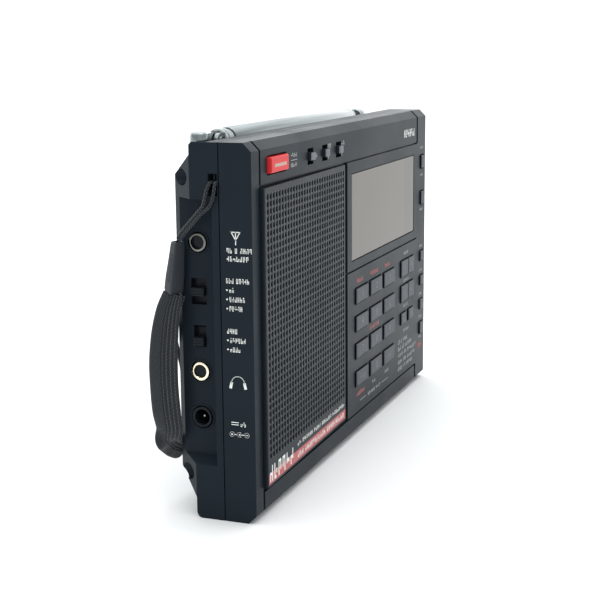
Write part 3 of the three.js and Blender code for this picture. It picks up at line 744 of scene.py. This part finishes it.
def make_grille():
    """The wedge-shaped plate with every one of its slots, and dark gauze behind them."""
    bm = bmesh.new()
    xs = grille_lines(*GRILLE["x"], *SLOT["x"], SLOT["columns"])
    zs = grille_lines(*GRILLE["z"], *SLOT["z"], SLOT["rows"])
    front = grille_skin(bm, xs, zs, grille_front)
    back = grille_skin(bm, xs, zs, lambda x: GRILLE["back"])
    opposite = {front[key]: back[key] for key in front}
    for edge in [e for e in bm.edges if e.is_boundary and e.verts[0] in opposite]:
        a, b = edge.verts
        bm.faces.new((a, b, opposite[b], opposite[a]))
    weights = bm.edges.layers.float.new("bevel_weight_edge")
    rim = [(0, x) for x in GRILLE["x"]] + [(2, z) for z in GRILLE["z"]]
    for edge in bm.edges:
        a, b = (v.co for v in edge.verts)
        if min(-a.y, -b.y) >= GRILLE_RIM and any(
                abs(a[axis] - side) + abs(b[axis] - side) < 1e-4 for axis, side in rim):
            edge[weights] = 1
    plate = built(bm, "speaker_grille_finish", "case", "grille", replaces=["speaker_grille"])
    soften(plate, 0.35, by_weight=True)
    bm = bmesh.new()
    add_box(bm, (-83.8, -14.2), (-13.9, -13.7), (17.2, 98.8))
    built(bm, "speaker_cloth", "case", "cone")


# ---- prints -------------------------------------------------------------------------------------

INK_DEPTH = 0.04
INK_SINK = 0.01  # how far the ink starts under the surface
SIDE_FACE = -93.5
KEY_FACE = -15.7
random.seed(12)


def facing_front(face):
    """Places prints on a plane that faces the front, at y = face."""
    return lambda u, v, height: Vector((u, face - height + INK_SINK, v))


on_front = facing_front(-15)
on_key = facing_front(KEY_FACE)


def on_grille(u, v, height):
    return facing_front(grille_front(u))(u, v, height)


def over_stripe(u, v, height):
    return on_grille(u, v, height + INK_DEPTH)


def on_side(u, v, height):
    """u is the distance towards the front, to the right as seen from the left side."""
    return Vector((SIDE_FACE - height + INK_SINK, -u, v))


def arc(u, v, radius, degrees):
    """Points round a centre at the given angles."""
    turns = [math.radians(d) for d in degrees]
    return [(u + radius * math.cos(turn), v + radius * math.sin(turn)) for turn in turns]


def circle(u, v, radius, count):
    return arc(u, v, radius, [360 * i / count for i in range(count)])


def stroke(bm, points, width, place, closed=False):
    """A line of constant width through the points, as one prism for each stretch."""
    for (u0, v0), (u1, v1) in zip(points, points[1:] + (points[:1] if closed else [])):
        length = math.hypot(u1 - u0, v1 - v0)
        du, dv = (u1 - u0) / length * width / 2, (v1 - v0) / length * width / 2
        outline = [(u0 - du + dv, v0 - dv - du), (u1 + du + dv, v1 + dv - du),
                   (u1 + du - dv, v1 + dv + du), (u0 - du - dv, v0 - dv + du)]
        add_prism(bm, outline, place, INK_DEPTH)


def dot(bm, u, v, radius, place=on_side):
    add_prism(bm, circle(u, v, radius, 10), place, INK_DEPTH)


def blocks(bm, u, v, letters, height, place, pitch, gap_after=()):
    """A word's texture: thin upright strokes and a short cross stroke in place of each letter."""
    at = u
    thin = pitch * 0.19
    for i in range(letters):
        for offset in (0, 0.45):
            low = v + height * random.choice((0, 0, 0, 0.3))
            high = v + height * random.choice((1, 1, 0.6))
            left = at + pitch * offset
            add_prism(bm, rectangle((left, left + thin), (low, high)), place, INK_DEPTH)
        bar = v + height * random.choice((0, 0.4, 0.82))
        cross = rectangle((at + thin, at + pitch * 0.45), (bar, bar + height * 0.18))
        add_prism(bm, cross, place, INK_DEPTH)
        at += pitch * (1.7 if i + 1 in gap_after else 1)


def side_prints():
    """Icons and block words beside the sockets and switches."""
    bm = bmesh.new()
    stroke(bm, [(8.4, 88.3), (11.2, 88.3), (9.8, 86)], 0.28, on_side, closed=True)
    stroke(bm, [(9.8, 88.3), (9.8, 84.7)], 0.28, on_side)
    blocks(bm, 6.9, 82.1, 7, 1.5, on_side, 0.98, gap_after=(2, 3))
    blocks(bm, 6.9, 79.7, 7, 1.5, on_side, 1.02)
    for v, words, gaps in ((73.2, (8, 2, 6, 5), (3,)), (58.2, (4, 6, 4), ())):
        blocks(bm, 6.6, v, words[0], 1.5, on_side, 0.86, gap_after=gaps)
        for letters in words[1:]:
            v -= 2.75
            dot(bm, 6.75, v + 0.75, 0.27)
            blocks(bm, 7.5, v, letters, 1.5, on_side, 0.86)
    headphone_icon(bm)
    supply_icons(bm)
    built(bm, "side_print", "case", "ink_white")


def headphone_icon(bm):
    """A half circle with a cup at each end."""
    u, v, radius = 9.75, 43.3, 2.1
    stroke(bm, arc(u, v, radius, range(0, 181, 15)), 0.25, on_side)
    for side in (-1, 1):
        end = u + side * radius
        stroke(bm, [(end, 43.2), (end + side * 0.25, 42.1)], 0.85, on_side)


def supply_icons(bm):
    """A line over a dashed line, and two rings joined by a line to a cup with a dot in it."""
    stroke(bm, [(7.5, 31.3), (9.6, 31.3)], 0.25, on_side)
    for i in range(3):
        stroke(bm, [(7.5 + i * 0.8, 30.6), (8.0 + i * 0.8, 30.6)], 0.25, on_side)
    blocks(bm, 10.4, 30.1, 2, 1.5, on_side, 0.95)
    v = 27.6
    for u in (7.5, 12.3):
        stroke(bm, circle(u, v, 0.72, 16), 0.22, on_side, closed=True)
    stroke(bm, arc(9.9, v, 0.72, range(60, 301, 20)), 0.22, on_side)
    for u in (7.5, 9.95):
        dot(bm, u, v, 0.26)
    for u0, u1, width in ((12.0, 12.6, 0.2), (8.25, 9.2, 0.22), (10.1, 11.6, 0.22)):
        stroke(bm, [(u0, v), (u1, v)], width, on_side)


# Left end, foot and number of letters of the words above the keys, and of the small ones round them.
ABOVE_KEYS = ((2.5, 56.7, 5), (18.3, 56.7, 7), (36.5, 56.7, 5), (18.3, 36.2, 8), (2, 14.6, 7))
ROUND_KEYS = ((62.5, 57.6, 5), (62, 46.5, 6), (62.5, 36.1, 5), (62.5, 25.8, 6), (21, 14.9, 3),
              (37, 14.9, 4))


def front_prints():
    """Block words on the front panel."""
    white, red, grey = bmesh.new(), bmesh.new(), bmesh.new()
    for v in (107.2, 104.2):
        blocks(grey, -62, v, 5, 1.3, on_front, 1.05)
    blocks(grey, -41.6, 105.4, 3, 1.3, on_front, 1.1)
    for u in (-28.4, -14.6):
        blocks(grey, u, 107.2, 3, 1.6, on_front, 1.2)
        blocks(grey, u, 103.9, 1, 1.8, on_front, 1.2)
    blocks(white, 62, 104.4, 6, 3.0, on_front, 2.55)
    for u, v, letters in ABOVE_KEYS:
        blocks(red, u, v, letters, 1.5, on_front, 1.35)
    blocks(red, 84.3, 13.9, 4, 2.6, on_front, 1.4)
    for u, v, letters in ROUND_KEYS:
        blocks(grey, u, v, letters, 1.2, on_front, 1.3)
    for u0, u1, v, width in ((-62, -56.8, 106.3, 0.2), (6, 13, 12.2, 0.22), (33, 41, 12.2, 0.22)):
        stroke(grey, [(u0, v), (u1, v)], width, on_front)
    blocks(grey, 15.5, 11.5, 10, 1.3, on_front, 1.5, gap_after=(6,))
    for row, letters in enumerate((7, 11, 15, 14, 12)):
        gaps = (letters // 3, letters // 2)
        blocks(grey, 55, 22 - row * 2.75, letters, 1.6, on_front, 1.6, gap_after=gaps)
    for v in (98.2, 87, 72.5, 57, 46.8, 36.6, 27, 18.1):
        blocks(grey, 85.8, v, 3, 1.1, on_front, 1.5)
    for colour, bm in (("white", white), ("red", red), ("grey", grey)):
        built(bm, f"front_print_{colour}", "case", f"ink_{colour}")


def grille_prints():
    """Red stripe with block words along the foot of the grille plate."""
    red, white = bmesh.new(), bmesh.new()
    add_prism(red, rectangle((-86.6, -11.3), (10.3, 13.6)), on_grille, INK_DEPTH)
    blocks(white, -85.8, 10.9, 6, 5.0, over_stripe, 3.6)
    blocks(white, -61, 11.2, 24, 1.6, over_stripe, 1.9, gap_after=(3, 14))
    blocks(white, -61, 15, 26, 1.3, over_stripe, 1.7, gap_after=(2, 8, 12, 18))
    built(red, "grille_stripe", "case", "ink_red")
    built(white, "grille_print", "case", "ink_white")


# ---- controls -----------------------------------------------------------------------------------

KEY_COLUMNS = (0, 17, 34)
KEY_ROWS = (48.9, 38.7, 28.6, 18.2)
DIGIT_SIZE = 3.6
KEY_TEXTS = ("1", "2", "3", "4", "5", "6", "7", "8", "9", None, "0", None)
CLUSTER_MIDDLES = (62.3, 71.8)  # along x, of its left and right keys
BAND_SWITCHES = (-44.8, -31.1, -17.4)
SIDE_SWITCHES = (("gain_switch", 4.5, 69.25, 1.9), ("tone_switch", 4.4, 54.1, 1.5))  # y, z, half width
WHEELS = (("tuning_wheel", 84, 78, 11, 60), ("fine_tuning_wheel", 87, 52, 8, 44),
          ("volume_wheel", 87, 27, 8, 44))  # x, z, radius, teeth


def digit(name, text, x, z, key):
    """A figure on a key, centred on its face."""
    curve = bpy.data.curves.new(name, "FONT")
    curve.body = text
    curve.size = DIGIT_SIZE * MM
    curve.align_x = "CENTER"
    curve.align_y = "CENTER"
    curve.extrude = INK_DEPTH / 2 * MM
    helper = bpy.data.objects.new(name + "_curve", curve)
    mesh = bpy.data.meshes.new_from_object(helper)
    bpy.data.objects.remove(helper)
    at = Vector((x, KEY_FACE, z)) * MM
    mesh.transform(Matrix.Translation(at) @ Matrix.Rotation(math.pi / 2, 4, "X"))
    piece(name, mesh, key, "ink_key")


def key_word(name, u, v, letters, pitch, key):
    bm = bmesh.new()
    blocks(bm, u, v, letters, 1.4, on_key, pitch)
    built(bm, name, key, "ink_key")


def make_keys():
    places = [(x, z) for z in KEY_ROWS for x in KEY_COLUMNS]
    for number, ((x, z), text) in enumerate(zip(places, KEY_TEXTS), 1):
        node = f"key_{number}"
        finished(node, "key", 0.22)
        if text:
            digit(f"key_digit_{number}", text, x + 7.35, z + 3.15, node)
        else:
            key_word(f"key_mark_{number}", x + 4.2, z + 2.5, 5, 1.3, node)
    for index in range(1, 7):
        node = f"cluster_key_{index}"
        finished(node, "key", 0.22)
        low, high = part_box(node)
        x = CLUSTER_MIDDLES[(index + 1) % 2]
        z = (low.z + high.z) / 2 / MM
        key_word(f"cluster_mark_{index}", x - 1.3, z - 0.7, 2, 1.4, node)
        finished(f"edge_key_{index}", "key", 0.25)


def make_power_button():
    finished("power_button", "power", 0.35, segments=3)
    bm = bmesh.new()
    add_box(bm, (-78.4, -69), (-16.29, -16.2), (105.75, 106.75))
    soften(built(bm, "power_bar", "power_button", "ink_cream"), 0.05)


def switch_ridges(name, place, half, offsets, switch, look):
    """Grip ridges on a slide switch: place(u, v, height) puts them on its top."""
    bm = bmesh.new()
    for offset in offsets:
        add_prism(bm, rectangle((-half, half), (offset - 0.28, offset + 0.28)), place, 0.45)
    soften(built(bm, name, switch, look), 0.12)


def make_switches():
    for index, x in enumerate(BAND_SWITCHES, 1):
        def on_top(u, v, height):
            return Vector((x + v, -15.8 - height, 106.2 + u))
        node = f"band_switch_{index}"
        finished(node, "switch", 0.2)
        name = f"band_ridges_{index}"
        switch_ridges(name, on_top, 1.2, (-1.25, -0.4, 0.45, 1.3), node, "knob_face")
    for node, y, z, half in SIDE_SWITCHES:
        def on_end(u, v, height):
            return Vector((-89.9 - height, y + u, z + v))
        finished(node, "knob", 0.2)
        switch_ridges(f"{node}_ridges", on_end, half, (-0.85, 0, 0.85), node, "knob")


def make_wheels():
    """Knurled edge wheels with a dished face."""
    for node, x, z, radius, teeth in WHEELS:
        half = [(2.1, 1.9), (radius - 1.6, 1.9), (radius - 1.2, 2.7), (radius - 0.3, 2.7),
                (radius, 2.3)]
        profile = [(r, -y) for r, y in half] + half[::-1]
        rings = turned_rings("y", profile, (x, 0, z), teeth * 4)
        for ring, (r, _) in zip(rings, profile):
            if r > radius - 0.5:
                for i, point in enumerate(ring):
                    if i % 4 in (2, 3):
                        centre = Vector((x, point.y, z))
                        ring[i] = centre + (point - centre) * ((r - 0.35) / r)
        bm = bmesh.new()
        add_loft(bm, rings, closed=True)
        built(bm, node + "_finish", node, "knob", replaces=[node])


def make_display():
    finished("lcd_window", "display_pane", 0.15)
    finished("lcd_module", "display_back", 0.2)


# ---- sockets ------------------------------------------------------------------------------------

SOCKET_BACK = -80
RECESS_FLOOR = -88.8  # the flat inside the control recess, along x

# Middle y and z of each socket, and the radius of the ring moulded round it.
SOCKETS = {"antenna": (4.5, 84.1, 3.15), "headphone": (4.5, 44.8, 3.2), "dc": (4.2, 30.5, 3.55)}


def socket(kind, radius, bore, look):
    """A panel socket: rounded collar, bore with a dark sleeve and a contact spring."""
    name = kind + "_jack"
    y, z, _ = SOCKETS[kind]
    face = RECESS_FLOOR - 0.5
    collar = [(bore, face + 0.25), (bore + 0.15, face + 0.05), (radius - 0.35, face),
              (radius - 0.08, face + 0.1), (radius, face + 0.35), (radius, SOCKET_BACK),
              (bore, SOCKET_BACK)]
    turned_piece(name + "_finish", "x", collar, (0, y, z), "case", look, [name], closed=True)
    sleeve = [(bore - 0.02, face + 1.2), (bore - 0.25, face + 1.3), (bore - 0.25, SOCKET_BACK - 0.6),
              (AXIS, SOCKET_BACK - 0.6), (AXIS, SOCKET_BACK - 0.1), (bore - 0.02, SOCKET_BACK - 0.1)]
    turned_piece(name + "_sleeve", "x", sleeve, (0, y, z), "case", "knob", sides=40)
    bm = bmesh.new()
    add_box(bm, (face + 1.4, SOCKET_BACK - 1), (y + bore * 0.35, y + bore * 0.6), (z - 0.5, z + 0.5))
    built(bm, name + "_spring", "case", "gold")


def power_socket():
    """Socket with a centre pin, closed at its back."""
    y, z, _ = SOCKETS["dc"]
    collar = [(2.35, -89), (2.5, -89.2), (3.0, -89.3), (3.2, -89.15), (3.25, -88.9),
              (3.25, SOCKET_BACK), (2.35, SOCKET_BACK)]
    turned_piece("dc_jack_finish", "x", collar, (0, y, z), "case", "knob", ["dc_jack"], closed=True)
    low, high = SOCKET_BACK - 0.6, SOCKET_BACK - 0.1
    back = [(2.3, low), (AXIS, low), (AXIS, high), (2.3, high)]
    turned_piece("dc_jack_back", "x", back, (0, y, z), "case", "knob", sides=32)
    pin = [(AXIS, -80.4), (0.6, -80.4), (0.6, -86.9), (0.5, -87.3), (0.3, -87.5), (AXIS, -87.5)]
    turned_piece("dc_jack_pin", "x", pin, (0, y, z), "case", "chrome", sides=32)


def make_sockets():
    socket("antenna", 2.85, 2.0, "dark_metal")
    socket("headphone", 2.9, 1.95, "gold")
    power_socket()
    for kind, (y, z, radius) in SOCKETS.items():
        foot, shoulder, top = (RECESS_FLOOR - rise for rise in (-0.1, 0.15, 0.25))
        ring = [(radius, foot), (radius, shoulder), (radius + 0.15, top), (radius + 0.45, top),
                (radius + 0.6, shoulder), (radius + 0.65, foot)]
        turned_piece(f"{kind}_ring", "x", ring, (0, y, z), "case", "case", closed=True)


# ---- antenna ------------------------------------------------------------------------------------

MAST = {"y": 4, "z": 113.2, "swivel": -87.3, "hinge": -78}
TUBES = ((3.5, -67.1, 46.4), (3.1, -65.5, 48.9), (2.7, -64.8, 50.8), (2.3, -64.1, 52.7),
         (1.9, -63.4, 54.6))  # radius, start, end

# Profiles of turned shapes: radius, place along the axis.
STUB = [(AXIS, 105.5), (2, 105.5), (2, 109.3), (2.5, 109.3), (2.6, 109.5), (2.6, 115.3), (2.5, 115.8),
        (2.2, 116.2), (1.7, 116.4), (0.9, 116.48), (AXIS, 116.5)]
ROD = [(AXIS, -62.7), (1.5, -62.7), (1.5, 57), (2.3, 57), (2.6, 57.3), (2.6, 58.7), (2.35, 59),
       (2.35, 59.5), (2.6, 59.8), (2.6, 63.1), (2.4, 63.8), (1.8, 64.3), (0.9, 64.4), (AXIS, 64.4)]
COLLAR = [(AXIS, -74.8), (2.9, -74.8), (3.3, -74.5), (3.3, -72.9), (3.05, -72.7), (3.05, -72.3),
          (3.3, -72.1), (3.3, -70.4), (3.0, -70.1)]


def rounded_plate(root, radius):
    """Outline of a plate from x = root to a round end about the hinge."""
    hinge, z = MAST["hinge"], MAST["z"]
    side = 1 if root < hinge else -1
    end = [(hinge + side * (u - hinge), v) for u, v in arc(hinge, z, radius, range(-90, 91, 15))]
    return [(root, z - radius), *end, (root, z + radius)]


def make_antenna():
    y, z, swivel = MAST["y"], MAST["z"], MAST["swivel"]
    bm = bmesh.new()
    add_turned(bm, "z", STUB, (swivel, y, 0))
    tang = rounded_plate(swivel + 2, 2.5)
    add_prism(bm, tang, lambda u, v, height: Vector((u, y - 1.15 + height, v)), 2.3)
    built(bm, "antenna_base_finish", "antenna_base", "chrome", replaces=["antenna_base"], crease=CREASE)
    antenna_outer_tube()
    for index, (radius, start, end) in enumerate(TUBES[1:], 2):
        node = f"antenna_section_{index}"
        tube = [(radius - 0.25, start), (radius, start), (radius, end - 0.35),
                (radius - 0.1, end - 0.1), (radius - 0.2, end), (radius - 0.25, end - 0.05)]
        turned_piece(node + "_finish", "x", tube, (0, y, z), node, "chrome", [node], closed=True)
    node = "antenna_section_6"
    turned_piece(node + "_finish", "x", ROD, (0, y, z), node, "chrome", [node])


def antenna_outer_tube():
    """The outer tube with its collar, rings and the fork that straddles the hinge."""
    y, z = MAST["y"], MAST["z"]
    radius, start, end = TUBES[0]
    inner = 3.25
    body = [*COLLAR, (3.0, start - 0.4), (3.3, start - 0.4), (radius, start), (radius, end - 0.5),
            (radius - 0.12, end), (inner, end), (inner, start + 1.1), (AXIS, start + 1.1)]
    bm = bmesh.new()
    add_turned(bm, "x", body, (0, y, z))
    for low in (y - 2.8, y + 1.5):
        ear = rounded_plate(-74.5, 2.3)
        add_prism(bm, ear, lambda u, v, height: Vector((u, low + height, v)), 1.3)
    pin = [(AXIS, y - 3.1), (1.0, y - 3.1), (1.25, y - 2.9), (1.25, y + 2.9), (1.0, y + 3.1),
           (AXIS, y + 3.1)]
    add_turned(bm, "y", pin, (MAST["hinge"], 0, z), 32)
    node = "antenna_section_1"
    built(bm, node + "_finish", node, "chrome", replaces=[node], crease=CREASE)


# ---- inside -------------------------------------------------------------------------------------

INSIDE = (("main_pcb", "board", 0), ("keypad_mat", "mat", 0.3), ("battery_cells", "cells", 0),
          ("ferrite_rod", "ferrite", 0), ("speaker_frame", "steel", 0), ("speaker_cone", "cone", 0))


def make_inside():
    for node, look, edge in INSIDE:
        finished(node, look, edge)


# ---- studio -------------------------------------------------------------------------------------


def make_floor():
    bm = bmesh.new()
    bmesh.ops.create_circle(bm, cap_ends=True, segments=96, radius=4000)
    floor = bpy.data.objects.new("studio_floor", mesh_of(bm, "studio_floor"))
    floor.data.materials.append(floor_material())
    bpy.context.scene.collection.objects.link(floor)


def area_light(name, at, aim, size, power):
    data = bpy.data.lights.new(name, "AREA")
    data.shape = "DISK"
    data.size = size
    data.energy = power
    light = bpy.data.objects.new(name, data)
    light.location = at
    light.rotation_euler = (Vector(aim) - Vector(at)).to_track_quat("-Z", "Y").to_euler()
    bpy.context.scene.collection.objects.link(light)


# Two gradients of the surround: the direction it brightens towards, the cosines between which it
# does, and its strength at each.
BEHIND = ((0.85, 0.53, 0), -0.2, 0.95, 0.75, 1.75)
ABOVE = ((0, 0, 1), 0.45, 0.8, 0, 0.8)


def make_light():
    """White studio surround, brighter behind the set, with one soft light overhead."""
    world = bpy.data.worlds.new("studio")
    world.use_nodes = True
    nodes, links = world.node_tree.nodes, world.node_tree.links
    direction = nodes.new("ShaderNodeTexCoord").outputs["Generated"]
    total = nodes.new("ShaderNodeMath")
    total.operation = "ADD"
    for socket, (towards, *reach) in zip(total.inputs, (BEHIND, ABOVE)):
        along = nodes.new("ShaderNodeVectorMath")
        along.operation = "DOT_PRODUCT"
        along.inputs[1].default_value = Vector(towards).normalized()
        links.new(direction, along.inputs[0])
        ramp = nodes.new("ShaderNodeMapRange")
        ramp.interpolation_type = "SMOOTHSTEP"
        for name, value in zip(("From Min", "From Max", "To Min", "To Max"), reach):
            ramp.inputs[name].default_value = value
        links.new(along.outputs["Value"], ramp.inputs["Value"])
        links.new(ramp.outputs["Result"], socket)
    links.new(total.outputs["Value"], nodes["Background"].inputs["Strength"])
    nodes["Background"].inputs["Color"].default_value = (0.97, 0.99, 1.0, 1)
    bpy.context.scene.world = world
    bpy.context.scene.view_settings.view_transform = "Standard"
    area_light("overhead", (0.1, -0.1, 1.2), (0, 0, 0), 0.9, 3)


make_camera()
make_strap()
make_case()
make_screws()
cover_details()
make_grille()
make_display()
make_keys()
make_power_button()
make_switches()
make_wheels()
make_sockets()
make_antenna()
make_inside()
side_prints()
front_prints()
grille_prints()
make_floor()
make_light()
